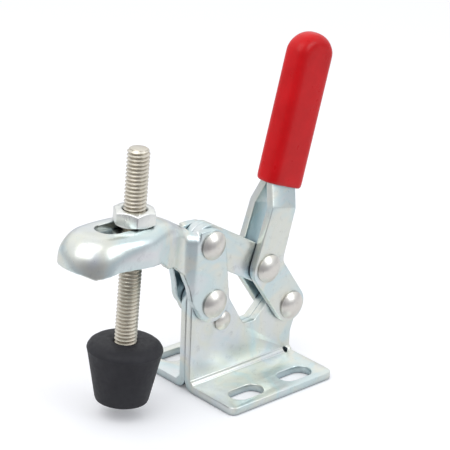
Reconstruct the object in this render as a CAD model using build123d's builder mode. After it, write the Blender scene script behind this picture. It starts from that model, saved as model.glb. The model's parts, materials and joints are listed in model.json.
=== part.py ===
from build123d import *
from math import asin, atan2, cos, radians, sin, tan
import os

os.makedirs("parts", exist_ok=True)

# A small vertical-handle toggle clamp, millimetres, +Z up.  The arm's nose points along -X and the
# handle stands at the rear.  X = Y = 0 is the centre of the four mounting slots and Z = 0 is the
# underside of the base, so the part is placed straight on the surface it is screwed to.  The two
# halves of every laminated piece mirror each other about Y = 0; "left" is the -Y half.
# The pose is the open-handed one: the handle leans back and the nose is lifted a little.

# ---- driving dimensions ------------------------------------------------------------------------
sheet = 2.2            # steel sheet that every stamping is made from
side_play = 0.1        # gap between a turning plate and the plate beside it
pin_play = 0.05        # radial running fit of a rivet in a turning plate
seat_play = 0.02       # radial fit of a rivet in a plate that it is clenched to

# pivots of the four-bar linkage, as X and Z
arm_link_x = -13.5
arm_link_z = 41.9
arm_base_x = -12.5
arm_base_z = 25.2
link_handle_x = 6.4
link_handle_z = 30.2
handle_base_x = 15.5
handle_base_z = 17.1

# base: two L-shaped stampings back to back
base_length = 36.3
base_width = 38.8
bend_inner_r = 1.0
flange_corner_r = 2.0
slot_width = 6.0
slot_length = 10.5
slot_spacing_x = 17.4
slot_spacing_y = 28.1
base_lobe_r = 5.7      # round ends of the uprights at both pivots
notch_floor_z = 14.8   # bottom of the V between the two pivots
notch_floor_r = 1.2
notch_front_normal = 31.0
notch_rear_normal = 132.0
rear_edge_normal = -20.0
rear_knee_r = 4.0
relief_d = 1.5         # small hole at the rear end of each bend
relief_x = 16.0
base_rivet_x = -7.4
base_rivet_z = 18.1

# rivets
rivet_d = 5.0
rivet_head_d = 7.7
rivet_head_h = 2.0
rivet_land_h = 0.5     # straight rim of a head, under its dome
small_rivet_d = 3.2
small_rivet_head_d = 5.2
small_rivet_head_h = 1.4
waist_d = 4.0          # thin middle of the rivet in the opened pivot
open_pivot_play = 1.0  # radial room of that waist in the link's rear hole

# link between the arm and the handle
link_lobe_r = 4.9

# arm: one drawn stamping, measured in its own frame (origin at its base pivot,
# first number towards the rear, second number up), lifted by arm_lift from its level pose
arm_lift = 3.6
roof_z = 25.5          # flat roof that the spindle's nut sits on
roof_flat_end = -20.5
roof_dip = (-11.1, 22.5)
roof_end = (-7.2, 21.0)
nose_x = -37.5         # centre of the round nose
nose_r = 9.0           # half width of the channel at nose and spindle
sweep_start = -25.0    # where the sides begin to close towards the neck
sweep_end = -12.5
sweep_start_r = 10.0
sweep_end_r = 6.0
neck_half = 3.7        # half width of the channel at the neck
joggle_start = -10.3   # the legs are set outward here
joggle_end = -7.2
joggle_r = 4.5
legs_start = -6.5      # from here the legs are flat straps
roof_edge_r = 3.4      # outer radius of the drawn edge between roof and sides
roof_notch_x = -8.8    # end of the roof, hollowed round the link
arm_lobe_r = 4.3
arm_foot_lobe_r = 5.3
arm_slot_width = 7.0
arm_slot_front = -33.5
arm_slot_rear = -24.6

# handle: two stampings that close on each other and carry the grip
handle_lean = 14.3     # lean of the handle's axis to the rear
handle_lobe_r = 4.95
handle_knee_r = 3.0
handle_bend_u = 16.4   # heights along the handle's axis, from the link pivot
handle_close_u = 22.4
strap_front = 3.7      # front and rear sides of the strap, off the link pivot
strap_rear = 5.2
tang_corner_r = 4.0
tang_end_u = 60.0
grip_front_u = 22.8    # the sleeve's lower rim, at its front and at its rear
grip_rear_u = 21.3
grip_shoulder_u = 58.9
grip_end_u = 63.5
grip_shift = 1.05      # the sleeve's centre line, off the link pivot
grip_depth = 13.4
grip_thick = 7.5
grip_edge_r = 2.9
grip_shoulder_r = 3.0
grip_foot_r = 0.6

# spindle: hexagon bolt with two nuts and a rubber foot, in the arm's frame
spindle_x = -25.55
spindle_d = 5.85
spindle_top = 45.2
nut_af = 10.0
nut_h = 4.0
nut_turn = 59.0
nut_chamfer = 0.6
nut_face_d = 9.5
spindle_end_chamfer = 0.6
bolt_head_h = 4.0
bolt_head_base = -19.6
foot_base = -22.55
foot_h = 16.4
foot_base_d = 14.1
foot_wide_d = 19.75
foot_wide_h = 13.4
foot_rim_r = 2.6
foot_base_r = 0.8
foot_recess_d = 8.4    # shallow cone round the spindle in the foot's top
foot_recess_h = 1.2

# ---- sizes that follow -------------------------------------------------------------------------
inner_face = sheet + side_play          # inner face of the outer plates, from Y = 0
outer_face = inner_face + sheet         # outer face of the outer plates
half_length = base_length / 2
half_width = base_width / 2
bend_outer_r = bend_inner_r + sheet
nut_corner = nut_af / 2 / cos(radians(30)) # half the width of a nut across its corners
link_hole_r = waist_d / 2 + open_pivot_play
side = Plane.XZ                         # local x = X, local y = Z, normal towards -Y
arm_cos = cos(radians(arm_lift))
arm_sin = sin(radians(arm_lift))
arm_origin = (arm_base_x, 0, arm_base_z)
arm_side = Plane(origin=arm_origin, x_dir=(arm_cos, 0, -arm_sin), z_dir=(0, -1, 0))
arm_plan = Plane(origin=arm_origin, x_dir=(arm_cos, 0, -arm_sin), z_dir=(arm_sin, 0, arm_cos))
lean_cos = cos(radians(handle_lean))
lean_sin = sin(radians(handle_lean))
handle_origin = (link_handle_x, 0, link_handle_z)
handle_plan = Plane(origin=handle_origin, x_dir=(lean_cos, 0, -lean_sin), z_dir=(lean_sin, 0, lean_cos))
handle_edge = Plane(origin=handle_origin, x_dir=(0, 1, 0), z_dir=(lean_cos, 0, -lean_sin))
handle_side = Plane(origin=handle_origin, x_dir=(lean_cos, 0, -lean_sin), z_dir=(0, -1, 0))
arm_link_dx = arm_link_x - arm_base_x
arm_link_dz = arm_link_z - arm_base_z
arm_link_a = arm_cos * arm_link_dx - arm_sin * arm_link_dz
arm_link_b = arm_sin * arm_link_dx + arm_cos * arm_link_dz


# point on a round lobe whose outward normal stands at the given angle
def lobe_point(x, z, r, angle):
    return (x + r * cos(radians(angle)), z + r * sin(radians(angle)))


# point of the tangent line at that lobe point, at height z
def tangent_at(point, angle, z):
    return (point[0] - (z - point[1]) * tan(radians(angle)), z)


# ---- base --------------------------------------------------------------------------------------
front_tip = lobe_point(arm_base_x, arm_base_z, base_lobe_r, notch_front_normal)
rear_tip = lobe_point(handle_base_x, handle_base_z, base_lobe_r, notch_rear_normal)
rear_side = lobe_point(handle_base_x, handle_base_z, base_lobe_r, rear_edge_normal)
notch_front = tangent_at(front_tip, notch_front_normal, notch_floor_z)
notch_rear = tangent_at(rear_tip, notch_rear_normal, notch_floor_z)
rear_knee_z = rear_side[1] - (rear_side[0] - half_length) / tan(radians(-rear_edge_normal))
rear_knee = (half_length, rear_knee_z)
front_lobe_side = (arm_base_x - base_lobe_r, arm_base_z)

with BuildPart() as base_plate_left:
    # bent strip: upright against Y = 0, flange outward, seen from the end
    with BuildSketch(Plane.YZ.offset(-half_length)) as strip:
        with BuildLine():
            Line((0, bend_outer_r), (0, arm_link_z))
            Line((0, arm_link_z), (-sheet, arm_link_z))
            Line((-sheet, arm_link_z), (-sheet, bend_outer_r))
            RadiusArc((-sheet, bend_outer_r), (-bend_outer_r, sheet), -bend_inner_r)
            Line((-bend_outer_r, sheet), (-half_width, sheet))
            Line((-half_width, sheet), (-half_width, 0))
            Line((-half_width, 0), (-bend_outer_r, 0))
            RadiusArc((-bend_outer_r, 0), (0, bend_outer_r), -bend_outer_r)
        make_face()
    extrude(amount=base_length + 2 * base_lobe_r)
    # outline of the upright
    with BuildSketch(side) as outline:
        with BuildLine():
            Polyline((-half_length, 0), (half_length, 0), rear_knee, rear_side, rear_tip, notch_rear,
                     notch_front, front_tip, front_lobe_side, (-half_length, 0))
        make_face()
        soft = [v for v in outline.vertices() if abs(v.Y - notch_floor_z) < 0.01]
        fillet(soft, notch_floor_r)
        knee = [v for v in outline.vertices() if abs(v.Y - rear_knee_z) < 0.01]
        fillet(knee, rear_knee_r)
        with Locations((arm_base_x, arm_base_z), (handle_base_x, handle_base_z)):
            Circle(base_lobe_r)
    extrude(amount=base_width, both=True, mode=Mode.INTERSECT)
    # rounded outer corners of the flange
    flange_corners = base_plate_left.edges().filter_by(Axis.Z).group_by(Axis.Y)[0]
    fillet(flange_corners, flange_corner_r)
    # mounting slots
    with BuildSketch(Plane.XY) as slots:
        with Locations((-slot_spacing_x / 2, -slot_spacing_y / 2), (slot_spacing_x / 2, -slot_spacing_y / 2)):
            SlotOverall(slot_length, slot_width)
    extrude(amount=sheet, mode=Mode.SUBTRACT)
    # relief hole through the bend, square to its 45 degree middle
    bend_middle = Plane(origin=(relief_x, -bend_outer_r, bend_outer_r), z_dir=(0, 1, -1))
    with BuildSketch(bend_middle):
        Circle(relief_d / 2)
    extrude(amount=2 * bend_outer_r, mode=Mode.SUBTRACT)
    # pivot holes and the hole for the joining rivet
    with BuildSketch(side):
        with Locations((arm_base_x, arm_base_z), (handle_base_x, handle_base_z)):
            Circle(rivet_d / 2 + pin_play)
        with Locations((base_rivet_x, base_rivet_z)):
            Circle(small_rivet_d / 2 + seat_play)
    extrude(amount=sheet, mode=Mode.SUBTRACT)
base_plate_left.part.label = "base_plate_left"
export_step(base_plate_left.part, "parts/base_plate_left.step")

with BuildPart() as base_plate_right:
    add(base_plate_left.part)
    mirror(about=Plane.XZ, mode=Mode.REPLACE)
base_plate_right.part.label = "base_plate_right"
export_step(base_plate_right.part, "parts/base_plate_right.step")


# profile of half a rivet, turned round its axis: shank out to the given face, then a domed head
def rivet_profile(shank_d, head_d, head_h, face):
    dome_h = head_h - rivet_land_h
    dome_r = ((head_d / 2) ** 2 + dome_h**2) / (2 * dome_h)
    half_angle = asin(head_d / 2 / dome_r) / 2
    middle = (dome_r * sin(half_angle), face + head_h - dome_r * (1 - cos(half_angle)))
    with BuildSketch(Plane.XY, mode=Mode.PRIVATE) as profile:
        with BuildLine():
            Polyline((0, 0), (shank_d / 2, 0), (shank_d / 2, face), (head_d / 2, face),
                     (head_d / 2, face + rivet_land_h))
            ThreePointArc((head_d / 2, face + rivet_land_h), middle, (0, face + head_h))
            Line((0, face + head_h), (0, 0))
        make_face()
    return profile.sketch


# short rivet that joins the two uprights below the front pivot
with BuildPart() as base_rivet:
    add(Pos(base_rivet_x, 0, base_rivet_z)
        * rivet_profile(small_rivet_d, small_rivet_head_d, small_rivet_head_h, sheet))
    revolve(axis=Axis((base_rivet_x, 0, base_rivet_z), (0, 1, 0)))
    mirror(about=Plane.XZ)
base_rivet.part.label = "base_rivet"
export_step(base_rivet.part, "parts/base_rivet.step")

# ---- arm ---------------------------------------------------------------------------------------
legs_end = 2 * arm_foot_lobe_r
leg_top = arm_link_b + arm_lobe_r


# plan of the channel from the nose to the far end of the legs, drawn in by the given inset
def channel_plan(inset):
    with BuildSketch(arm_plan.offset(-legs_end), mode=Mode.PRIVATE) as plan:
        with BuildLine():
            Polyline((nose_x, nose_r), (sweep_start, nose_r), (sweep_end, neck_half),
                     (joggle_start, neck_half), (joggle_end, outer_face), (legs_end, outer_face),
                     (legs_end, -outer_face), (joggle_end, -outer_face), (joggle_start, -neck_half),
                     (sweep_end, -neck_half), (sweep_start, -nose_r), (nose_x, -nose_r),
                     (nose_x, nose_r))
        make_face()
        start_bends = [v for v in plan.vertices() if abs(v.X - sweep_start) < 0.01]
        fillet(start_bends, sweep_start_r)
        end_bends = [v for v in plan.vertices() if abs(v.X - sweep_end) < 0.01]
        fillet(end_bends, sweep_end_r)
        joggle = [v for v in plan.vertices() if joggle_start - 0.01 < v.X < joggle_end + 0.01]
        fillet(joggle, joggle_r)
        with Locations((nose_x, 0)):
            Circle(nose_r)
        if inset:
            offset(amount=-inset, kind=Kind.INTERSECTION, mode=Mode.REPLACE)
    return plan.sketch


# side view of everything under the roof line when that is lowered by the given depth
def under_roof(drop):
    with BuildSketch(arm_side.offset(-half_width), mode=Mode.PRIVATE) as profile:
        with BuildLine():
            Line((nose_x - 2 * nose_r, roof_z - drop), (roof_flat_end, roof_z - drop))
            Spline((roof_flat_end, roof_z - drop), (roof_dip[0], roof_dip[1] - drop),
                   (roof_end[0], roof_end[1] - drop), tangents=((1, 0), (1, -0.1)))
            Polyline((roof_end[0], roof_end[1] - drop), (legs_end, roof_end[1] - drop),
                     (legs_end, -legs_end), (nose_x - 2 * nose_r, -legs_end),
                     (nose_x - 2 * nose_r, roof_z - drop))
        make_face()
    return profile.sketch


# edges between the roof of a channel block and its walls
def roof_edges(block, lowest):
    up = arm_plan.z_dir
    found = []
    for edge in block.edges():
        middle = arm_plan.to_local_coords(edge.position_at(0.5))
        level = abs(edge.tangent_at(0.5).dot(up)) < 0.5
        inside = abs(middle.Y) < 0.01 and middle.X > nose_x
        if level and middle.Z > lowest and not inside:
            found.append(edge)
    return found


with BuildPart(mode=Mode.PRIVATE) as arm_outside:
    extrude(channel_plan(0), amount=roof_z + 2 * legs_end)
    extrude(under_roof(0), amount=base_width, mode=Mode.INTERSECT)
    fillet(roof_edges(arm_outside, roof_end[1] - 1), roof_edge_r)

with BuildPart(mode=Mode.PRIVATE) as arm_inside:
    extrude(channel_plan(sheet), amount=roof_z + 2 * legs_end)
    extrude(under_roof(sheet), amount=base_width, mode=Mode.INTERSECT)
    fillet(roof_edges(arm_inside, roof_end[1] - sheet - 1), roof_edge_r - sheet)

with BuildPart(mode=Mode.PRIVATE) as roof_notch:
    extrude(channel_plan(sheet), amount=roof_z + 2 * legs_end)
    with BuildSketch(arm_plan.offset(-legs_end)):
        SlotOverall(2 * abs(roof_notch_x), 2 * inner_face + sheet)
    extrude(amount=roof_z + 2 * legs_end, mode=Mode.INTERSECT)

with BuildPart() as arm:
    add(arm_outside.part)
    # lower edge of the drawn sides: nose lip, skirt, then the step down to the legs
    with BuildSketch(arm_side.offset(-half_width)) as lower_edge:
        with BuildLine():
            Polyline((legs_start, 30), (legs_start, 0), (-7.5, 1.8), (-8.3, 5.2), (-10.2, 9.6),
                     (-13.0, 11.8), (-15.4, 13.2), (-18.2, 13.7), (-21.7, 16.7), (-36.7, 17.3),
                     (-42.6, 16.0), (-44.8, 17.0), (-46.6, 17.4), (-60, 17.4), (-60, 30),
                     (legs_start, 30))
        make_face()
        soft = [v for v in lower_edge.vertices() if -43 < v.X < -10 and v.Y < roof_z - 1]
        fillet(soft, 1.2)
    extrude(amount=base_width, mode=Mode.INTERSECT)
    # legs: flat straps over the link and over the base uprights
    with BuildSketch(arm_side.offset(-outer_face)) as legs:
        with Locations((arm_link_a, arm_link_b)):
            Circle(arm_lobe_r)
        Circle(arm_foot_lobe_r)
        make_hull()
        with BuildLine():
            Polyline((legs_start, leg_top), (arm_link_a, leg_top), (0, 0), (-3.9, -3.0),
                     (legs_start, 0), (legs_start, leg_top))
        make_face()
        with Locations((legs_start, 0)):
            Rectangle(legs_end, 4 * roof_z, align=(Align.MAX, Align.CENTER), mode=Mode.SUBTRACT)
    extrude(amount=2 * outer_face)
    add(arm_inside.part, mode=Mode.SUBTRACT)
    # end of the roof, hollowed round the link between the two walls
    add(roof_notch.part, mode=Mode.SUBTRACT)
    # long slot that lets the spindle be moved along the arm
    with BuildSketch(arm_plan.offset(roof_z - 2 * sheet)):
        with Locations(((arm_slot_front + arm_slot_rear) / 2, 0)):
            SlotCenterToCenter(arm_slot_rear - arm_slot_front, arm_slot_width)
    extrude(amount=3 * sheet, mode=Mode.SUBTRACT)
    # rivet holes
    with BuildSketch(side.offset(-outer_face)):
        with Locations((arm_link_x, arm_link_z), (arm_base_x, arm_base_z)):
            Circle(rivet_d / 2 + seat_play)
    extrude(amount=2 * outer_face, mode=Mode.SUBTRACT)
arm.part.label = "arm"
export_step(arm.part, "parts/arm.step")

# ---- link --------------------------------------------------------------------------------------
with BuildPart() as link_plate_left:
    with BuildSketch(side):
        with Locations((arm_link_x, arm_link_z), (link_handle_x, link_handle_z)):
            Circle(link_lobe_r)
        make_hull()
        with Locations((arm_link_x, arm_link_z)):
            Circle(rivet_d / 2 + pin_play, mode=Mode.SUBTRACT)
        with Locations((link_handle_x, link_handle_z)):
            Circle(link_hole_r, mode=Mode.SUBTRACT)
    extrude(amount=sheet)
link_plate_left.part.label = "link_plate_left"
export_step(link_plate_left.part, "parts/link_plate_left.step")

with BuildPart() as link_plate_right:
    add(link_plate_left.part)
    mirror(about=Plane.XZ, mode=Mode.REPLACE)
link_plate_right.part.label = "link_plate_right"
export_step(link_plate_right.part, "parts/link_plate_right.step")

# ---- handle ------------------------------------------------------------------------------------
close_angle = atan2(inner_face, handle_close_u - handle_bend_u)
bend_shift = sheet * tan(close_angle / 2)


# point seen from the side, given in the handle's frame: v to the rear, u up its axis
def handle_point(v, u):
    return (link_handle_x + lean_cos * v + lean_sin * u, link_handle_z - lean_sin * v + lean_cos * u)


# strap from the link pivot to the end of the tang
strap = [handle_point(-handle_lobe_r, 0), handle_point(-strap_front, handle_bend_u),
         handle_point(-strap_front, tang_end_u), handle_point(strap_rear, tang_end_u),
         handle_point(strap_rear, handle_close_u), handle_point(handle_lobe_r, 0),
         handle_point(-handle_lobe_r, 0)]
tang_end = handle_point(0, tang_end_u)


# both halves seen on edge above the pivots, grown by the given amount
def pair_on_edge(grow):
    with BuildSketch(handle_edge.offset(-base_width / 2), mode=Mode.PRIVATE) as pair:
        with BuildLine():
            Polyline((-outer_face, 0), (-outer_face, handle_bend_u + bend_shift),
                     (-sheet, handle_close_u + bend_shift), (-sheet, tang_end_u), (sheet, tang_end_u),
                     (sheet, handle_close_u + bend_shift), (outer_face, handle_bend_u + bend_shift),
                     (outer_face, 0), (-outer_face, 0))
        make_face()
        fillet(pair.vertices().filter_by(lambda v: handle_bend_u - 1 < v.Y < handle_close_u + 1), sheet)
        if grow:
            offset(amount=grow, kind=Kind.INTERSECTION, mode=Mode.REPLACE)
    return pair.sketch


with BuildPart() as handle_plate_left:
    # bent strip seen on edge: flat over the pivots, then closing on the other half
    with BuildSketch(handle_edge.offset(-base_width / 2)) as bent:
        with BuildLine():
            Polyline((-inner_face, -base_width), (-inner_face, handle_bend_u), (0, handle_close_u),
                     (0, tang_end_u), (-sheet, tang_end_u), (-sheet, handle_close_u + bend_shift),
                     (-outer_face, handle_bend_u + bend_shift), (-outer_face, -base_width),
                     (-inner_face, -base_width))
        make_face()
        bends = [v for v in bent.vertices() if handle_bend_u - 1 < v.Y < handle_close_u + 1]
        fillet(bends, sheet)
    extrude(amount=base_width)
    # outline: strap between the pivots and the leaning strap that becomes the tang
    with BuildSketch(side) as outline:
        with Locations((link_handle_x, link_handle_z), (handle_base_x, handle_base_z)):
            Circle(handle_lobe_r)
        make_hull()
        with BuildLine():
            Polyline(*strap)
        make_face()
        tang_corners = outline.vertices().sort_by_distance(tang_end)[0:2]
        fillet(tang_corners, tang_corner_r)
        knee = outline.vertices().filter_by(lambda v: v.X > link_handle_x and v.Y > link_handle_z)
        fillet(knee.sort_by_distance((link_handle_x, link_handle_z))[0], handle_knee_r)
    extrude(amount=base_width, both=True, mode=Mode.INTERSECT)
    with BuildSketch(side):
        with Locations((link_handle_x, link_handle_z), (handle_base_x, handle_base_z)):
            Circle(rivet_d / 2 + seat_play)
    extrude(amount=outer_face, mode=Mode.SUBTRACT)
handle_plate_left.part.label = "handle_plate_left"
export_step(handle_plate_left.part, "parts/handle_plate_left.step")

with BuildPart() as handle_plate_right:
    add(handle_plate_left.part)
    mirror(about=Plane.XZ, mode=Mode.REPLACE)
handle_plate_right.part.label = "handle_plate_right"
export_step(handle_plate_right.part, "parts/handle_plate_right.step")

# hollow of the sleeve: the two tangs and the bends below them, with a small fit all round
with BuildPart(mode=Mode.PRIVATE) as grip_hollow:
    with BuildSketch(side):
        with BuildLine():
            Polyline(*strap)
        make_face()
        offset(amount=seat_play, kind=Kind.INTERSECTION, mode=Mode.REPLACE)
    extrude(amount=base_width, both=True)
    extrude(pair_on_edge(seat_play), amount=base_width, mode=Mode.INTERSECT)

# soft sleeve pressed over the two tangs
with BuildPart() as grip:
    with BuildSketch(handle_side.offset(-grip_thick / 2)) as grip_outline:
        with BuildLine():
            Polyline((grip_shift - grip_depth / 2, grip_shoulder_u),
                     (grip_shift - grip_depth / 2, grip_front_u),
                     (grip_shift + grip_depth / 2, grip_rear_u),
                     (grip_shift + grip_depth / 2, grip_shoulder_u))
            ThreePointArc((grip_shift + grip_depth / 2, grip_shoulder_u), (grip_shift, grip_end_u),
                          (grip_shift - grip_depth / 2, grip_shoulder_u))
        make_face()
        shoulders = [v for v in grip_outline.vertices() if abs(v.Y - grip_shoulder_u) < 0.01]
        fillet(shoulders, grip_shoulder_r)
    extrude(amount=grip_thick)
    # long rounded edges, up one side, over the top and down the other
    long_edges = []
    for edge in grip.edges():
        on_side = abs(abs(edge.center().Y) - grip_thick / 2) < 0.01
        on_rim = edge.center().Z < handle_point(0, grip_front_u + 1)[1]
        if on_side and not on_rim:
            long_edges.append(edge)
    fillet(long_edges, grip_edge_r)
    fillet(grip.faces().sort_by(Axis.Z)[0].edges(), grip_foot_r)
    add(grip_hollow.part, mode=Mode.SUBTRACT)
grip.part.label = "grip"
export_step(grip.part, "parts/grip.step")


# ---- pivot rivets ------------------------------------------------------------------------------
# rivet through all the layers at one pivot, with a domed head against each outer plate
def pivot_rivet(x, z):
    with BuildPart(mode=Mode.PRIVATE) as rivet:
        add(Pos(x, 0, z) * rivet_profile(rivet_d, rivet_head_d, rivet_head_h, outer_face))
        revolve(axis=Axis((x, 0, z), (0, 1, 0)))
        mirror(about=Plane.XZ)
    return rivet.part


with BuildPart() as rivet_arm_link:
    add(pivot_rivet(arm_link_x, arm_link_z))
rivet_arm_link.part.label = "rivet_arm_link"
export_step(rivet_arm_link.part, "parts/rivet_arm_link.step")

with BuildPart() as rivet_arm_base:
    add(pivot_rivet(arm_base_x, arm_base_z))
rivet_arm_base.part.label = "rivet_arm_base"
export_step(rivet_arm_base.part, "parts/rivet_arm_base.step")

with BuildPart() as rivet_handle_base:
    add(pivot_rivet(handle_base_x, handle_base_z))
rivet_handle_base.part.label = "rivet_handle_base"
export_step(rivet_handle_base.part, "parts/rivet_handle_base.step")

# this one is turned down between the handle plates, where the link's wide hole runs round it
with BuildPart() as rivet_link_handle:
    add(pivot_rivet(link_handle_x, link_handle_z))
    with BuildSketch(side.offset(-inner_face)):
        with Locations((link_handle_x, link_handle_z)):
            Circle(rivet_d / 2)
            Circle(waist_d / 2, mode=Mode.SUBTRACT)
    extrude(amount=2 * inner_face, mode=Mode.SUBTRACT)
rivet_link_handle.part.label = "rivet_link_handle"
export_step(rivet_link_handle.part, "parts/rivet_link_handle.step")

# ---- spindle -----------------------------------------------------------------------------------
with BuildPart() as spindle:
    with BuildSketch(arm_plan.offset(bolt_head_base)):
        with Locations((spindle_x, 0)):
            RegularPolygon(nut_af / 2, 6, major_radius=False, rotation=nut_turn)
    extrude(amount=bolt_head_h)
    with BuildSketch(arm_plan.offset(bolt_head_base)):
        with Locations((spindle_x, 0)):
            Circle(spindle_d / 2)
    extrude(amount=spindle_top - bolt_head_base)
    chamfer(spindle.edges().sort_by(Axis.Z)[-1], spindle_end_chamfer)
spindle.part.label = "spindle"
export_step(spindle.part, "parts/spindle.step")


# hexagon nut with its lower face at the given height on the spindle
def hex_nut(height):
    with BuildPart(mode=Mode.PRIVATE) as nut:
        with BuildSketch(arm_plan.offset(height)):
            with Locations((spindle_x, 0)):
                RegularPolygon(nut_af / 2, 6, major_radius=False, rotation=nut_turn)
        extrude(amount=nut_h)
        # corners turned to a shallow cone at both faces
        with BuildSketch(Plane(origin=arm_origin, x_dir=arm_side.x_dir, z_dir=arm_side.z_dir)):
            with BuildLine():
                Polyline((spindle_x, height), (spindle_x + nut_face_d / 2, height),
                         (spindle_x + nut_corner, height + nut_chamfer),
                         (spindle_x + nut_corner, height + nut_h - nut_chamfer),
                         (spindle_x + nut_face_d / 2, height + nut_h), (spindle_x, height + nut_h),
                         (spindle_x, height))
            make_face()
        nut_axis = Axis(arm_plan.from_local_coords(Vector(spindle_x, 0, 0)), arm_plan.z_dir)
        revolve(axis=nut_axis, mode=Mode.INTERSECT)
        with BuildSketch(arm_plan.offset(height)):
            with Locations((spindle_x, 0)):
                Circle(spindle_d / 2 + pin_play)
        extrude(amount=nut_h, mode=Mode.SUBTRACT)
    return nut.part


with BuildPart() as nut_upper:
    add(hex_nut(roof_z))
nut_upper.part.label = "nut_upper"
export_step(nut_upper.part, "parts/nut_upper.step")

with BuildPart() as nut_lower:
    add(hex_nut(roof_z - sheet - nut_h))
nut_lower.part.label = "nut_lower"
export_step(nut_lower.part, "parts/nut_lower.step")

# rubber foot moulded round the bolt's head
with BuildPart() as rubber_foot:
    with BuildSketch(arm_side):
        with BuildLine():
            Polyline((spindle_x, foot_base), (spindle_x + foot_base_d / 2, foot_base),
                     (spindle_x + foot_wide_d / 2, foot_base + foot_wide_h),
                     (spindle_x + foot_wide_d / 2, foot_base + foot_h),
                     (spindle_x + foot_recess_d / 2, foot_base + foot_h),
                     (spindle_x + spindle_d / 2, foot_base + foot_h - foot_recess_h),
                     (spindle_x, foot_base + foot_h - foot_recess_h), (spindle_x, foot_base))
        make_face()
    foot_axis = Axis(arm_plan.from_local_coords(Vector(spindle_x, 0, 0)), arm_plan.z_dir)
    revolve(axis=foot_axis)
    rims = rubber_foot.edges().filter_by(GeomType.CIRCLE).sort_by(Axis.Z)
    wide_rims = [e for e in rims if abs(e.radius - foot_wide_d / 2) < 0.01]
    fillet(wide_rims[-1], foot_rim_r)
    fillet(rims[0], foot_base_r)
    with BuildSketch(arm_plan.offset(bolt_head_base)):
        with Locations((spindle_x, 0)):
            RegularPolygon(nut_af / 2, 6, major_radius=False, rotation=nut_turn)
    extrude(amount=bolt_head_h, mode=Mode.SUBTRACT)
    with BuildSketch(arm_plan.offset(bolt_head_base)):
        with Locations((spindle_x, 0)):
            Circle(spindle_d / 2 + seat_play)
    extrude(amount=foot_h, mode=Mode.SUBTRACT)
rubber_foot.part.label = "rubber_foot"
export_step(rubber_foot.part, "parts/rubber_foot.step")
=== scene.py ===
import json
import math
import bpy
from mathutils import Matrix, Vector


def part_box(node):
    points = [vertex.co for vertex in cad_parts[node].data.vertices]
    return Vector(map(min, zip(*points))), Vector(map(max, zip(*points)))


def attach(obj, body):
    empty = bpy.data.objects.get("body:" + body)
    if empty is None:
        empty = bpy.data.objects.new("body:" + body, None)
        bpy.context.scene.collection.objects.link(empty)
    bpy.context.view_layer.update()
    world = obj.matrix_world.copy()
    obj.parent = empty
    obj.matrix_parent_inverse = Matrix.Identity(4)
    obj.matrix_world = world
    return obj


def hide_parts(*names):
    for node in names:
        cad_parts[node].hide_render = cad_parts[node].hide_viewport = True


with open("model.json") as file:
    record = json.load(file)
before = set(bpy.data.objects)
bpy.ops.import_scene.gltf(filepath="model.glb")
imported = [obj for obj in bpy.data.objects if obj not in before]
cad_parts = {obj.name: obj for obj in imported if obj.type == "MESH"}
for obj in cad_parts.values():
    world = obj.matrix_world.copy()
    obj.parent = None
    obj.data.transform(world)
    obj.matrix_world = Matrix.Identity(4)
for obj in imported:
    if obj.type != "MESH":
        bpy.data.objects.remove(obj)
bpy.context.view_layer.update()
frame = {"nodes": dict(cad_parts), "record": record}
scene = bpy.context.scene
bpy.ops.object.select_all(action="DESELECT")

# ---- base stampings ----------------------------------------------------------------------------
# Two L-shaped plates blanked and bent from steel sheet, and held back to back by a short rivet.
# They are bright zinc plated with a blue passivate, which leaves faint blue and yellow clouds.
# The sheared edges are tumbled before plating, so they are slightly round and catch the light.
sheared_edge = 0.00028
zinc_stops = [
    (0.26, (0.66, 0.82, 0.87)),
    (0.40, (0.82, 0.86, 0.87)),
    (0.50, (0.84, 0.86, 0.79)),
    (0.58, (0.72, 0.84, 0.85)),
    (0.68, (0.82, 0.85, 0.86)),
    (0.80, (0.77, 0.75, 0.81)),
]
# painted shade: colour taken by the hollows and by the surfaces close to other parts
zinc_hollow_shade = (0.48, 0.63, 0.69)
# colour of the stains, also painted into crevices and contacts as shade
zinc_stain_and_shade = (0.26, 0.27, 0.29)


# node of the given kind with its settings, its constants and its links
def put(tree, kind, settings, sockets):
    made = tree.nodes.new(kind)
    for name, value in settings.items():
        setattr(made, name, value)
    for name, value in sockets.items():
        if isinstance(value, bpy.types.NodeSocket):
            tree.links.new(value, made.inputs[name])
        else:
            made.inputs[name].default_value = value
    return made


# colour ramp with the given stops
def ramp(tree, factor, stops):
    made = put(tree, "ShaderNodeValToRGB", {}, {"Fac": factor})
    band = made.color_ramp
    while len(band.elements) < len(stops):
        band.elements.new(0.5)
    for element, (place, colour) in zip(band.elements, stops):
        element.position = place
        element.color = (*colour, 1)
    return made.outputs["Color"]


# value sent from one range to another
def remap(tree, value, low, high, to_low, to_high):
    sockets = {"Value": value, "From Min": low, "From Max": high, "To Min": to_low, "To Max": to_high}
    return put(tree, "ShaderNodeMapRange", {}, sockets).outputs["Result"]


# two values put through one step of arithmetic
def combine(tree, operation, first, second):
    return put(tree, "ShaderNodeMath", {"operation": operation}, {0: first, 1: second}).outputs["Value"]


# cloudy noise between 0 and 1
def noise(tree, vector, scale, detail, roughness=0.5, distortion=0.0):
    sockets = {
        "Vector": vector,
        "Scale": scale,
        "Detail": detail,
        "Roughness": roughness,
        "Distortion": distortion,
    }
    return put(tree, "ShaderNodeTexNoise", {}, sockets).outputs["Fac"]


# one colour laid over another by a factor
def blend(tree, factor, under, over):
    made = tree.nodes.new("ShaderNodeMix")
    made.data_type = "RGBA"
    tree.links.new(factor, made.inputs[0])
    for socket, value in ((made.inputs[6], under), (made.inputs[7], over)):
        if isinstance(value, bpy.types.NodeSocket):
            tree.links.new(value, socket)
        else:
            socket.default_value = (*value, 1)
    return made.outputs[2]


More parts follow.
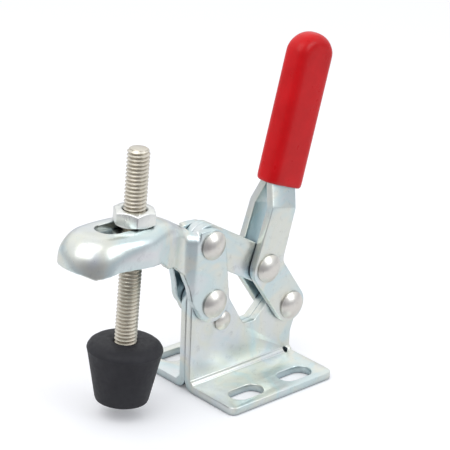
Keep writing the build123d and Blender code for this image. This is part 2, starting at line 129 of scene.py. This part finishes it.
# empty node group with the given sockets, and its inner input and output sockets
def new_group(name, inputs, outputs):
    tree = bpy.data.node_groups.new(name, "ShaderNodeTree")
    for label, kind, value in inputs:
        socket = tree.interface.new_socket(label, in_out="INPUT", socket_type="NodeSocket" + kind)
        if value is not None:
            socket.default_value = value
    for label in outputs:
        tree.interface.new_socket(label, in_out="OUTPUT", socket_type="NodeSocketFloat")
    return tree, tree.nodes.new("NodeGroupInput").outputs, tree.nodes.new("NodeGroupOutput").inputs


# plated steel: clouds of interference colour, upright rub marks, stains and a fine relief
rub_stretch = (1.0, 1.0, 0.12)
stain_scale = 420.0
stain_from = 0.56
stain_full = 0.78
wave_scale = 260.0
grain_share = 0.35
# how far full stains and full painted crevice shade pull the colour toward their dark colour
stain_and_shade_share = 0.7
plated_surface, given, result = new_group(
    "plated_surface",
    [("Vector", "Vector", None), ("Cloud scale", "Float", 90.0), ("Grain scale", "Float", 2600.0),
     ("Stain", "Float", 0.5)],
    ["Clouds", "Rub", "Stain", "Height"])
clouds = noise(plated_surface, given["Vector"], given["Cloud scale"], detail=3.0, roughness=0.55,
               distortion=0.6)
stretched = put(plated_surface, "ShaderNodeMapping", {}, {"Vector": given["Vector"], "Scale": rub_stretch})
rub = noise(plated_surface, stretched.outputs["Vector"], given["Grain scale"], detail=4.0, roughness=0.6)
stain = noise(plated_surface, given["Vector"], stain_scale, detail=5.0, roughness=0.75, distortion=0.4)
stain = remap(plated_surface, stain, stain_from, stain_full, 0.0, 1.0)
stain = combine(plated_surface, "MULTIPLY", stain, given["Stain"])
waves = noise(plated_surface, given["Vector"], wave_scale, detail=2.0)
grain = noise(plated_surface, given["Vector"], given["Grain scale"], detail=3.0, roughness=0.6)
height = combine(plated_surface, "ADD", combine(plated_surface, "MULTIPLY", grain, grain_share), waves)
for label, value in (("Clouds", clouds), ("Rub", rub), ("Stain", stain), ("Height", height)):
    plated_surface.links.new(value, result[label])

# how far a point lies in a hollow of the given reach, from 0 in the open to 1 deep inside, read from
# ambient occlusion; the plated metals paint shade with it
crevice, given, result = new_group(
    "crevice", [("Reach", "Float", 0.01), ("Deep", "Float", 0.1), ("Open", "Float", 0.8)], ["Mask"])
openness = put(crevice, "ShaderNodeAmbientOcclusion", {"samples": 8}, {"Distance": given["Reach"]})
mask = remap(crevice, openness.outputs["AO"], given["Deep"], given["Open"], 1.0, 0.0)
crevice.links.new(mask, result["Mask"])


# plated metal whose clouds run through the given colours; shade is painted as a darker colour into its
# hollows and where it lies close to other parts, and its stains and a painted shade in its crevices pull it
# toward a dark colour
def plated_metal(name, stops, hollow_shade, stain_and_shade, rough, cloud_scale, stain, bump=0.04):
    made = bpy.data.materials.new(name)
    made.use_nodes = True
    tree = made.node_tree
    shader = tree.nodes["Principled BSDF"]
    coords = put(tree, "ShaderNodeTexCoord", {}, {}).outputs["Object"]
    surface = put(tree, "ShaderNodeGroup", {"node_tree": plated_surface},
                  {"Vector": coords, "Cloud scale": cloud_scale, "Stain": stain}).outputs
    # painted shade: hollows and surfaces close to other parts, found by occlusion, take a darker colour
    hollow_shade_mask = put(tree, "ShaderNodeGroup", {"node_tree": crevice},
                {"Reach": 0.010, "Deep": 0.12, "Open": 0.62}).outputs["Mask"]
    # painted shade in narrow crevices and at contacts, laid on together with the real stains
    crevice_shade_mask = put(tree, "ShaderNodeGroup", {"node_tree": crevice},
                  {"Reach": 0.0018, "Deep": 0.20, "Open": 0.82}).outputs["Mask"]
    colour = blend(tree, hollow_shade_mask, ramp(tree, surface["Clouds"], stops), hollow_shade)
    stain_and_shade_mask = combine(tree, "MAXIMUM", surface["Stain"], crevice_shade_mask)
    colour = blend(tree, remap(tree, stain_and_shade_mask, 0.0, 1.0, 0.0, stain_and_shade_share), colour, stain_and_shade)
    polish = remap(tree, surface["Rub"], 0.3, 0.7, *rough)
    relief = put(tree, "ShaderNodeBump", {},
                 {"Height": surface["Height"], "Strength": bump, "Distance": 0.0004})
    tree.links.new(colour, shader.inputs["Base Color"])
    tree.links.new(polish, shader.inputs["Roughness"])
    tree.links.new(relief.outputs["Normal"], shader.inputs["Normal"])
    shader.inputs["Metallic"].default_value = 1.0
    return made


# copy of a CAD node with its loose triangles merged and its flat faces made whole
def merged_copy(node, name):
    bpy.ops.object.select_all(action="DESELECT")
    source = frame["nodes"][node]
    piece = source.copy()
    piece.data = source.data.copy()
    piece.name = name
    scene.collection.objects.link(piece)
    piece.select_set(True)
    bpy.context.view_layer.objects.active = piece
    bpy.ops.object.mode_set(mode="EDIT")
    bpy.ops.mesh.select_all(action="SELECT")
    bpy.ops.mesh.remove_doubles(threshold=0.000002)
    bpy.ops.mesh.dissolve_limited(angle_limit=math.radians(0.4))
    bpy.ops.object.mode_set(mode="OBJECT")
    return piece


# rounds the sharp edges of the active piece by the given width
def soften(piece, width):
    bevel = piece.modifiers.new("soften", "BEVEL")
    bevel.width = width
    bevel.segments = 3
    bevel.limit_method = "ANGLE"
    bevel.angle_limit = math.radians(40)
    bevel.use_clamp_overlap = False
    bevel.miter_outer = "MITER_ARC"
    bpy.ops.object.modifier_apply(modifier="soften")
    bpy.ops.object.shade_smooth_by_angle(angle=math.radians(28))


# gives a finished piece its material and its body, and hides the node that it stands for
def fit(piece, material, body, node):
    piece.data.materials.clear()
    piece.data.materials.append(material)
    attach(piece, body)
    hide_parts(node)


# left and right copies of a pair of CAD stampings, with their sheared edges rounded
def tumbled_pair(node, name, body):
    for hand in ("_left", "_right"):
        piece = merged_copy(node + hand, name + hand)
        soften(piece, sheared_edge)
        fit(piece, zinc, body, node + hand)


zinc = plated_metal("bright_zinc", zinc_stops, zinc_hollow_shade, zinc_stain_and_shade, rough=(0.27, 0.34),
                    cloud_scale=50.0, stain=0.45)
tumbled_pair("base_plate", "base_stamping", "base")

# ---- arm ---------------------------------------------------------------------------------------
# One stamping drawn from steel sheet and trimmed: a round-nosed channel that closes to a neck and
# opens into two legs.  It turns on a rivet through the base and is zinc plated like it.
# Every place below is counted from the seat of the upper nut, towards the nose, across and down.
joints = {joint["name"]: joint for joint in frame["record"]["behaviour"]["joints"]}
spindle_axis = Vector(joints["spindle_height"]["axis"]).normalized()
nose_axis = Vector(joints["nut_slide"]["axis"]).normalized()
arm_grid = 0.00026
nut_half_height = 0.002
# drawn edges: the roof stays flat along its middle and round its slot, and turns round outside
flat_across = 0.0042
round_across = 0.0062
round_all_over_from = 0.0080
draw_begins = -0.0135
draw_full = -0.0075
side_floor = 0.0055
nose_floor = 0.0082
side_floor_to = -0.0010
nose_floor_from = 0.0050
floor_fade = 0.0026
slot_end = 0.0079
slot_half_width = 0.0036
slot_flat = 0.0006
slot_round = 0.0022
draw_turns = 200
# shoulders: the neck's upper edges, where the channel closes
shoulder_rear = -0.0200
shoulder_front = -0.0115
shoulder_across = 0.0029
shoulder_floor = 0.0036
shoulder_turns = 30
# nose: drawn with a larger radius than the sides
roof_crown = 0.0004
side_draw = 0.0040
nose_draw = 0.0076
nose_centre = 0.0060
nose_flat = 0.0050
nose_r = 0.0132
nose_begins = 0.0035
nose_full = 0.0115
nose_share = 0.85
# joggle: the crisp step that sets the legs out, in the frame's X
joggle_from = -0.0265
joggle_floor = -0.0222
joggle_to = -0.0188
joggle_depth = 0.00055
joggle_across = 0.0012
tumble_turns = 3


# middle of a node's box
def middle(node):
    low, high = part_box(node)
    return (Vector(low) + Vector(high)) / 2


# 0 up to the start, 1 from the end on, and even in between
def fade(value, start, end):
    return max(0.0, min(1.0, (value - start) / (end - start)))


# rebuilds the active piece on an even grid of small faces
def regrid(piece, size):
    grid = piece.modifiers.new("grid", "REMESH")
    grid.mode = "VOXEL"
    grid.voxel_size = size
    bpy.ops.object.modifier_apply(modifier="grid")


# smooths the active piece, all over or within a vertex group
def relax(piece, turns, group=""):
    smoothing = piece.modifiers.new("relax", "SMOOTH")
    smoothing.factor = 0.5
    smoothing.iterations = turns
    smoothing.vertex_group = group
    bpy.ops.object.modifier_apply(modifier="relax")


nut_seat = middle("nut_upper") - spindle_axis * nut_half_height


# place of a point of the arm: towards the nose, across from the middle and down from the seat
def arm_place(point):
    offset = point - nut_seat
    return offset.dot(nose_axis), offset.y, -offset.dot(spindle_axis)


# share that a point of the arm takes in the rounding of the drawn edges
def draw_share(along, across, drop):
    outer = fade(abs(across), flat_across, round_across) if along < round_all_over_from else 1.0
    front = fade(along, draw_begins, draw_full)
    floor = side_floor + (nose_floor - side_floor) * fade(along, side_floor_to, nose_floor_from)
    upper = fade(floor - drop, 0.0, floor_fade)
    from_slot = math.hypot(max(0.0, along - slot_end), across) - slot_half_width
    return outer * front * upper * fade(from_slot, slot_flat, slot_round)


# how far a quarter round of the given radius has drawn in, at a depth below its top
def drawn_in(radius, depth):
    left = radius - min(radius, max(0.0, depth))
    return radius - math.sqrt(max(0.0, radius * radius - left * left))


arm_piece = merged_copy("arm", "arm_stamping")
regrid(arm_piece, arm_grid)
drawn_edge = arm_piece.vertex_groups.new(name="drawn_edge")
shoulder_edge = arm_piece.vertex_groups.new(name="shoulder_edge")
for vertex in arm_piece.data.vertices:
    along, across, drop = arm_place(vertex.co)
    share = draw_share(along, across, drop)
    if share > 0:
        drawn_edge.add([vertex.index], share, "REPLACE")
    beside = shoulder_rear < along < shoulder_front and abs(across) > shoulder_across
    if beside and drop < shoulder_floor:
        shoulder_edge.add([vertex.index], 1.0, "REPLACE")
relax(arm_piece, draw_turns, "drawn_edge")
relax(arm_piece, shoulder_turns, "shoulder_edge")
for vertex in arm_piece.data.vertices:
    along, across, drop = arm_place(vertex.co)
    depth = drop + roof_crown
    ahead = max(0.0, along - nose_centre)
    out = math.hypot(ahead, across)
    if depth < nose_draw and out > nose_flat:
        share = fade(along, nose_begins, nose_full) * fade(out, nose_flat, nose_r) * nose_share
        pull = share * max(0.0, drawn_in(nose_draw, depth) - drawn_in(side_draw, depth))
        vertex.co -= nose_axis * ahead * pull / out
        vertex.co.y *= 1 - pull / out
    dip = min(fade(vertex.co.x, joggle_from, joggle_floor), 1 - fade(vertex.co.x, joggle_floor, joggle_to))
    if abs(vertex.co.y) > joggle_across:
        vertex.co.y -= math.copysign(dip * joggle_depth, vertex.co.y)
relax(arm_piece, tumble_turns)
bpy.ops.object.shade_smooth()
fit(arm_piece, zinc, "arm", "arm")

# ---- link --------------------------------------------------------------------------------------
# Two flat straps side by side, blanked from the same zinc plated sheet.  They join the arm to the
# handle and are held by a rivet at each end, between the arm's legs and the handle's plates.
tumbled_pair("link_plate", "link_strap", "link")

# ---- handle ------------------------------------------------------------------------------------
# Two zinc plated straps, bent so that they close on each other above the link and run up inside
# the grip as one tang.  They turn on a rivet through the rear of the base.
tumbled_pair("handle_plate", "handle_strap", "handle")

# ---- rivets ------------------------------------------------------------------------------------
# Nickel plated steel rivets with domed heads, polished by the riveting tool.  Four carry the
# pivots and a short one holds the base's plates together.
nickel_stops = [
    (0.30, (0.80, 0.77, 0.71)),
    (0.45, (0.85, 0.82, 0.77)),
    (0.56, (0.82, 0.80, 0.75)),
    (0.70, (0.86, 0.82, 0.73)),
]
# painted shade: colour taken by the hollows and by the surfaces close to other parts
nickel_hollow_shade = (0.60, 0.55, 0.48)
# colour of the stains, also painted into crevices and contacts as shade
nickel_stain_and_shade = (0.24, 0.21, 0.18)
nickel = plated_metal("nickel_plate", nickel_stops, nickel_hollow_shade, nickel_stain_and_shade, rough=(0.27, 0.38),
                      cloud_scale=160.0, stain=0.35)
for name in ("base_rivet", "rivet_arm_link", "rivet_arm_base", "rivet_link_handle", "rivet_handle_base"):
    frame["nodes"][name].data.materials.clear()
    frame["nodes"][name].data.materials.append(nickel)

# ---- spindle -----------------------------------------------------------------------------------
# Hexagon bolt with a rolled M6 thread all the way up and a chamfered end, nickel plated.  Its head
# is moulded into the foot, and two nuts hold it in the arm's slot.
thread_pitch = 0.001
thread_crest_r = 0.00292
thread_root_r = 0.00237
crest_round = 0.00004
thread_steps = 32
thread_bottom = 0.0005
end_gap = 0.00025
end_r = thread_root_r - 0.0001
chamfer_height = 0.0009
chamfer_width = 0.0007
stub_r = thread_root_r - 0.00006
stub_height = 0.003
stub_round = 0.00025
head_corner_r = 0.00575
head_height = 0.004
head_turn = math.radians(29)
head_round = 0.0003
spindle_stops = [
    (0.30, (0.74, 0.70, 0.60)),
    (0.50, (0.80, 0.76, 0.67)),
    (0.70, (0.76, 0.70, 0.60)),
]
# painted shade: colour taken by the hollows and by the surfaces close to other parts
spindle_hollow_shade = (0.62, 0.56, 0.46)
# colour of the stains, also painted into crevices and contacts as shade
spindle_stain_and_shade = (0.34, 0.30, 0.24)
spindle_nickel = plated_metal("spindle_nickel", spindle_stops, spindle_hollow_shade, spindle_stain_and_shade,
                              rough=(0.32, 0.44), cloud_scale=200.0, stain=0.3)


# lowest and highest place of a node along the spindle's axis
def axis_span(node):
    heights = [vertex.co.dot(spindle_axis) for vertex in frame["nodes"][node].data.vertices]
    return min(heights), max(heights)


# stands a piece that was made upright at the origin on the spindle's axis, at the given height
def stand(piece, height):
    through = middle("nut_upper")
    foot_point = through + spindle_axis * (height - through.dot(spindle_axis))
    lean = Vector((0, 0, 1)).rotation_difference(spindle_axis).to_matrix().to_4x4()
    piece.matrix_world = Matrix.Translation(foot_point) @ lean
    bpy.ops.object.transform_apply(location=True, rotation=True, scale=True)


# new piece, left in edit mode, that is a chain of edges through points of a radius and a height
def drawn_outline(name, points):
    bpy.ops.object.select_all(action="DESELECT")
    bpy.ops.mesh.primitive_plane_add(size=0.001)
    piece = bpy.context.object
    piece.name = name
    bpy.ops.object.mode_set(mode="EDIT")
    bpy.ops.mesh.select_all(action="SELECT")
    bpy.ops.mesh.merge(type="CENTER")
    bpy.ops.transform.translate(value=(points[0][0], 0, points[0][1]))
    for here, there in zip(points, points[1:]):
        step = (there[0] - here[0], 0, there[1] - here[1])
        bpy.ops.mesh.extrude_region_move(TRANSFORM_OT_translate={"value": step})
    return piece


# upright bar at the origin with the given number of sides and rounded edges
def bar(sides, radius, low, height, turn, edge_round):
    bpy.ops.object.select_all(action="DESELECT")
    bpy.ops.mesh.primitive_cylinder_add(vertices=sides, radius=radius, depth=height,
                                        location=(0, 0, low + height / 2), rotation=(0, 0, turn))
    made = bpy.context.object
    bpy.ops.object.transform_apply(location=True, rotation=True, scale=True)
    soften(made, edge_round)
    return made


# one turn of the thread, from root to crest and back, in radius and share of the pitch
turn_profile = [
    (thread_root_r, 0.00),
    (thread_root_r, 0.06),
    (thread_crest_r - crest_round, 0.46),
    (thread_crest_r, 0.50),
    (thread_crest_r, 0.56),
    (thread_crest_r - crest_round, 0.60),
    (thread_root_r, 1.00),
]
spindle_low, spindle_high = axis_span("spindle")
spindle_length = spindle_high - spindle_low
thread = drawn_outline("spindle_thread", [(radius, (rise - 1) * thread_pitch)
                                          for radius, rise in turn_profile])
bpy.ops.object.mode_set(mode="OBJECT")
winding = thread.modifiers.new("winding", "SCREW")
winding.axis = "Z"
winding.screw_offset = thread_pitch
winding.iterations = int(spindle_length / thread_pitch) + 3
winding.steps = thread_steps
winding.render_steps = thread_steps
winding.use_merge_vertices = True
winding.merge_threshold = 0.00001
bpy.ops.object.modifier_apply(modifier="winding")
bpy.ops.object.mode_set(mode="EDIT")
bpy.ops.mesh.select_all(action="SELECT")
bpy.ops.mesh.remove_doubles(threshold=0.000005)
for height, outward in ((thread_bottom, -1), (spindle_length - end_gap, 1)):
    bpy.ops.mesh.select_all(action="SELECT")
    bpy.ops.mesh.bisect(plane_co=(0, 0, height), plane_no=(0, 0, outward), use_fill=True,
                        clear_outer=True)
bpy.ops.mesh.select_all(action="DESELECT")
bpy.ops.mesh.select_mode(type="EDGE")
bpy.ops.mesh.select_non_manifold()
bpy.ops.mesh.fill_holes(sides=0)
bpy.ops.mesh.select_mode(type="VERT")
bpy.ops.mesh.select_all(action="SELECT")
bpy.ops.mesh.normals_make_consistent(inside=False)
bpy.ops.object.mode_set(mode="OBJECT")
for vertex in thread.data.vertices:
    room = end_r + max(0.0, spindle_length - vertex.co.z) * chamfer_width / chamfer_height
    radius = math.hypot(vertex.co.x, vertex.co.y)
    if radius > room:
        vertex.co.x *= room / radius
        vertex.co.y *= room / radius
bpy.ops.object.shade_smooth_by_angle(angle=math.radians(35))
end_stub = bar(48, stub_r, spindle_length - stub_height, stub_height, 0.0, stub_round)
head = bar(6, head_corner_r, 0.0, head_height, head_turn, head_round)
end_stub.select_set(True)
thread.select_set(True)
bpy.context.view_layer.objects.active = thread
bpy.ops.object.join()
stand(thread, spindle_low)
fit(thread, spindle_nickel, "spindle", "spindle")

# ---- nuts --------------------------------------------------------------------------------------
# Two hexagon nuts that clamp the arm's roof between them, bright plated, chamfered at both faces
# and countersunk at both ends of the bore.
countersink = 0.00045
bore_reach = 0.0032
level_within = 0.0002
nut_edge = 0.00016
nut_stops = [
    (0.30, (0.91, 0.93, 0.89)),
    (0.50, (0.97, 0.98, 0.95)),
    (0.70, (0.94, 0.96, 0.91)),
]
# painted shade: colour taken by the hollows and by the surfaces close to other parts
nut_hollow_shade = (0.66, 0.70, 0.66)
# colour of the stains, also painted into crevices and contacts as shade
nut_stain_and_shade = (0.22, 0.22, 0.20)
nut_plate = plated_metal("nut_plate", nut_stops, nut_hollow_shade, nut_stain_and_shade, rough=(0.26, 0.38),
                         cloud_scale=180.0, stain=0.3)
for node in ("nut_upper", "nut_lower"):
    nut = merged_copy(node, node + "_countersunk")
    centre = middle(node)
    bpy.ops.object.mode_set(mode="EDIT")
    bpy.ops.mesh.select_all(action="DESELECT")
    bpy.ops.mesh.select_mode(type="EDGE")
    bpy.ops.object.mode_set(mode="OBJECT")
    for edge in nut.data.edges:
        ends = [nut.data.vertices[index].co - centre for index in edge.vertices]
        rises = [end.dot(spindle_axis) for end in ends]
        radii = [(end - spindle_axis * rise).length for end, rise in zip(ends, rises)]
        edge.select = max(radii) < bore_reach and abs(rises[0] - rises[1]) < level_within
    bpy.ops.object.mode_set(mode="EDIT")
    bpy.ops.mesh.bevel(offset=countersink, offset_type="OFFSET", segments=1, affect="EDGES")
    bpy.ops.mesh.select_mode(type="VERT")
    bpy.ops.object.mode_set(mode="OBJECT")
    soften(nut, nut_edge)
    fit(nut, nut_plate, "nuts", node)

# ---- grip --------------------------------------------------------------------------------------
# A sleeve of soft red vinyl that is dipped over the handle's tang and holds by its own stretch,
# with a glossy, slightly wavy skin and rounded edges.
sleeve_grid = 0.0004
sleeve_turns = 30
vinyl_stops = [(0.35, (0.66, 0.004, 0.007)), (0.65, (0.76, 0.007, 0.011))]

# skin of a moulded or dipped piece: blotches of colour, patches of polish and a fine relief
moulded_skin, given, result = new_group(
    "moulded_skin",
    [("Vector", "Vector", None), ("Blotch scale", "Float", 150.0), ("Blotch detail", "Float", 3.0),
     ("Polish scale", "Float", 600.0), ("Relief scale", "Float", 1000.0), ("Relief detail", "Float", 1.0)],
    ["Blotches", "Polish", "Relief"])
blotches = noise(moulded_skin, given["Vector"], given["Blotch scale"], given["Blotch detail"],
                 roughness=0.6)
patches = noise(moulded_skin, given["Vector"], given["Polish scale"], detail=3.0)
bumps = noise(moulded_skin, given["Vector"], given["Relief scale"], given["Relief detail"])
for label, value in (("Blotches", blotches), ("Polish", patches), ("Relief", bumps)):
    moulded_skin.links.new(value, result[label])


# soft plastic or rubber with a moulded skin; blotches and relief are a scale and a detail each
def moulded(name, stops, blotches, polish_scale, rough, relief, bump, bump_height, gloss):
    made = bpy.data.materials.new(name)
    made.use_nodes = True
    tree = made.node_tree
    shader = tree.nodes["Principled BSDF"]
    coords = put(tree, "ShaderNodeTexCoord", {}, {}).outputs["Object"]
    skin = put(tree, "ShaderNodeGroup", {"node_tree": moulded_skin},
               {"Vector": coords, "Blotch scale": blotches[0], "Blotch detail": blotches[1],
                "Polish scale": polish_scale, "Relief scale": relief[0],
                "Relief detail": relief[1]}).outputs
    normal = put(tree, "ShaderNodeBump", {},
                 {"Height": skin["Relief"], "Strength": bump, "Distance": bump_height})
    tree.links.new(ramp(tree, skin["Blotches"], stops), shader.inputs["Base Color"])
    tree.links.new(remap(tree, skin["Polish"], 0.3, 0.7, *rough), shader.inputs["Roughness"])
    tree.links.new(normal.outputs["Normal"], shader.inputs["Normal"])
    shader.inputs["Specular IOR Level"].default_value = gloss
    return made


vinyl = moulded("red_vinyl", vinyl_stops, blotches=(130.0, 3.0), polish_scale=300.0, rough=(0.26, 0.40),
                relief=(260.0, 1.0), bump=0.10, bump_height=0.0003, gloss=0.22)
vinyl_shader = vinyl.node_tree.nodes["Principled BSDF"]
vinyl_shader.inputs["Coat Weight"].default_value = 0.14
vinyl_shader.inputs["Coat Roughness"].default_value = 0.12
sleeve = merged_copy("grip", "vinyl_sleeve")
regrid(sleeve, sleeve_grid)
relax(sleeve, sleeve_turns)
bpy.ops.object.shade_smooth()
fit(sleeve, vinyl, "handle", "grip")
sleeve.visible_glossy = False          # so that its red doesn't tint the plating

# ---- foot --------------------------------------------------------------------------------------
# A tapered foot of black rubber with a domed shoulder, moulded round the head of the spindle, with
# a matt skin.
foot_steps = 96
rubber_stops = [(0.35, (0.024, 0.024, 0.029)), (0.70, (0.032, 0.032, 0.038))]
# radius and height, from the middle of the underside out, up, over the rim and in to the thread
foot_outline = [
    (0.0, 0.0), (0.0050, 0.0), (0.00625, 0.0), (0.00682, 0.00018), (0.00705, 0.00075),
    (0.0080, 0.0055), (0.00935, 0.0122), (0.00972, 0.01385), (0.00982, 0.01412),
    (0.00972, 0.01455), (0.00925, 0.01535), (0.00845, 0.01595), (0.0072, 0.0163),
    (0.0056, 0.0164), (0.0046, 0.0165), (0.0038, 0.0165), (0.0032, 0.0163), (0.0029, 0.0160),
    (0.0028, 0.0120),
]
rubber = moulded("black_rubber", rubber_stops, blotches=(200.0, 4.0), polish_scale=900.0,
                 rough=(0.48, 0.62), relief=(2600.0, 2.0), bump=0.15, bump_height=0.0002, gloss=0.3)
foot = drawn_outline("moulded_foot", foot_outline)
bpy.ops.mesh.select_all(action="SELECT")
bpy.ops.mesh.spin(steps=foot_steps, angle=2 * math.pi, center=(0, 0, 0), axis=(0, 0, 1))
bpy.ops.mesh.select_all(action="SELECT")
bpy.ops.mesh.remove_doubles(threshold=0.00001)
bpy.ops.mesh.normals_make_consistent(inside=False)
bpy.ops.object.mode_set(mode="OBJECT")
bpy.ops.object.shade_smooth_by_angle(angle=math.radians(33))
stand(foot, axis_span("rubber_foot")[0])
fit(foot, rubber, "spindle", "rubber_foot")

# ---- sheet and tent ----------------------------------------------------------------------------
# The clamp stands on a pale matt sheet that ends a little way in front of it, inside a white tent.
# The tent is darker near the ground and on the camera's side, and is white where it is looked at.
sheet_size = 1.2
sheet_front = 0.073
sheet_turn = math.radians(-132)
sheet_drop = 0.0001
sheet_colour = (0.75, 0.75, 0.76)
sheet_colour_seen = (0.965, 0.97, 1.0)
sheet_glow_seen = 0.10
white = (1, 1, 1, 1)
tent_low = -0.10
tent_high = 0.60
tent_side = (0.67, 0.74, 0.0)
tent_mirrored_white = 0.2
tent_heights = [
    (0.00, (0.36, 0.36, 0.40)),
    (0.20, (0.44, 0.44, 0.48)),
    (0.55, (0.86, 0.88, 0.90)),
    (0.90, (1.00, 1.00, 1.00)),
]
tent_sides = [
    (0.03, (0.30, 0.30, 0.34)),
    (0.20, (0.82, 0.83, 0.84)),
    (0.54, (0.82, 0.83, 0.84)),
    (0.80, (1.00, 1.00, 1.00)),
]
to_front = Vector((math.cos(sheet_turn), math.sin(sheet_turn), 0))
sheet_place = to_front * (sheet_front - sheet_size / 2) - Vector((0, 0, sheet_drop))
bpy.ops.object.select_all(action="DESELECT")
bpy.ops.mesh.primitive_plane_add(size=sheet_size, rotation=(0, 0, sheet_turn), location=sheet_place)
floor = bpy.context.object
bpy.ops.object.transform_apply(location=True, rotation=True, scale=True)
floor.name = "floor"
sheet = bpy.data.materials.new("pale_sheet")
sheet.use_nodes = True
tree = sheet.node_tree
tree.nodes.remove(tree.nodes["Principled BSDF"])
seen = put(tree, "ShaderNodeLightPath", {}, {}).outputs["Is Camera Ray"]
matt = put(tree, "ShaderNodeBsdfDiffuse", {}, {"Color": blend(tree, seen, sheet_colour, sheet_colour_seen)})
glow = put(tree, "ShaderNodeEmission", {},
           {"Color": white, "Strength": combine(tree, "MULTIPLY", seen, sheet_glow_seen)})
both = put(tree, "ShaderNodeAddShader", {}, {0: matt.outputs[0], 1: glow.outputs[0]})
tree.links.new(both.outputs[0], tree.nodes["Material Output"].inputs["Surface"])
floor.data.materials.append(sheet)

world = bpy.data.worlds.new("studio")
scene.world = world
world.use_nodes = True
tree = world.node_tree
tent = tree.nodes["Background"]
tent.inputs["Strength"].default_value = 1.0
direction = put(tree, "ShaderNodeTexCoord", {}, {}).outputs["Generated"]
rise = put(tree, "ShaderNodeSeparateXYZ", {}, {"Vector": direction}).outputs["Z"]
rise = remap(tree, rise, tent_low, tent_high, 0.0, 1.0)
side = put(tree, "ShaderNodeVectorMath", {"operation": "DOT_PRODUCT"}, {0: direction, 1: tent_side})
side = remap(tree, side.outputs["Value"], -1.0, 1.0, 0.0, 1.0)
lit = put(tree, "ShaderNodeVectorMath", {"operation": "MULTIPLY"},
          {0: ramp(tree, rise, tent_heights), 1: ramp(tree, side, tent_sides)})
tree.links.new(lit.outputs["Vector"], tent.inputs["Color"])
backdrop = put(tree, "ShaderNodeBackground", {}, {"Color": white, "Strength": 1.0})
path = put(tree, "ShaderNodeLightPath", {}, {}).outputs
clear = combine(tree, "MAXIMUM", path["Is Camera Ray"], path["Is Transmission Ray"])
mirrored = combine(tree, "MULTIPLY", path["Is Glossy Ray"], tent_mirrored_white)
mixed = put(tree, "ShaderNodeMixShader", {},
            {0: combine(tree, "MAXIMUM", clear, mirrored), 1: tent.outputs[0], 2: backdrop.outputs[0]})
tree.links.new(mixed.outputs[0], tree.nodes["World Output"].inputs["Surface"])

# ---- lamps -------------------------------------------------------------------------------------
# One large soft lamp above and ahead of the nose, and a weak one low on the camera's right.  Both
# are aimed at the middle of the clamp.
lamp_aim = Vector((-0.01, 0.0, 0.045))


# soft square lamp at the given place
def lamp(name, place, size, power, colour):
    data = bpy.data.lights.new(name, "AREA")
    data.shape = "SQUARE"
    data.size = size
    data.energy = power
    data.color = colour
    made = bpy.data.objects.new(name, data)
    scene.collection.objects.link(made)
    made.location = place
    made.rotation_euler = (lamp_aim - Vector(place)).to_track_quat("-Z", "Y").to_euler()


lamp("key", (-0.36, -0.06, 0.50), 0.54, 1.15, (1.0, 0.99, 0.97))
lamp("fill", (0.20, -0.52, 0.36), 0.34, 0.7, (0.93, 0.97, 1.0))
scene.view_settings.view_transform = "Standard"

# ---- camera ------------------------------------------------------------------------------------
# A long lens half a metre away, ahead of the nose and to the near side of it, looking down on the
# clamp and rolled by two degrees.
camera_place = (-0.30046, -0.32193, 0.2242)
camera_back = Vector((-0.6243, -0.6819, 0.3813)).normalized()
camera_right = Vector((0.7472, -0.6637, 0.0365))
camera_data = bpy.data.cameras.new("camera")
camera_data.sensor_width = 36.0
camera_data.lens = 145.13
camera_data.clip_start = 0.01
camera = bpy.data.objects.new("camera", camera_data)
scene.collection.objects.link(camera)
up = camera_back.cross(camera_right).normalized()
right = up.cross(camera_back).normalized()
turn = Matrix((right, up, camera_back)).transposed().to_4x4()
camera.matrix_world = Matrix.Translation(camera_place) @ turn
scene.camera = camera
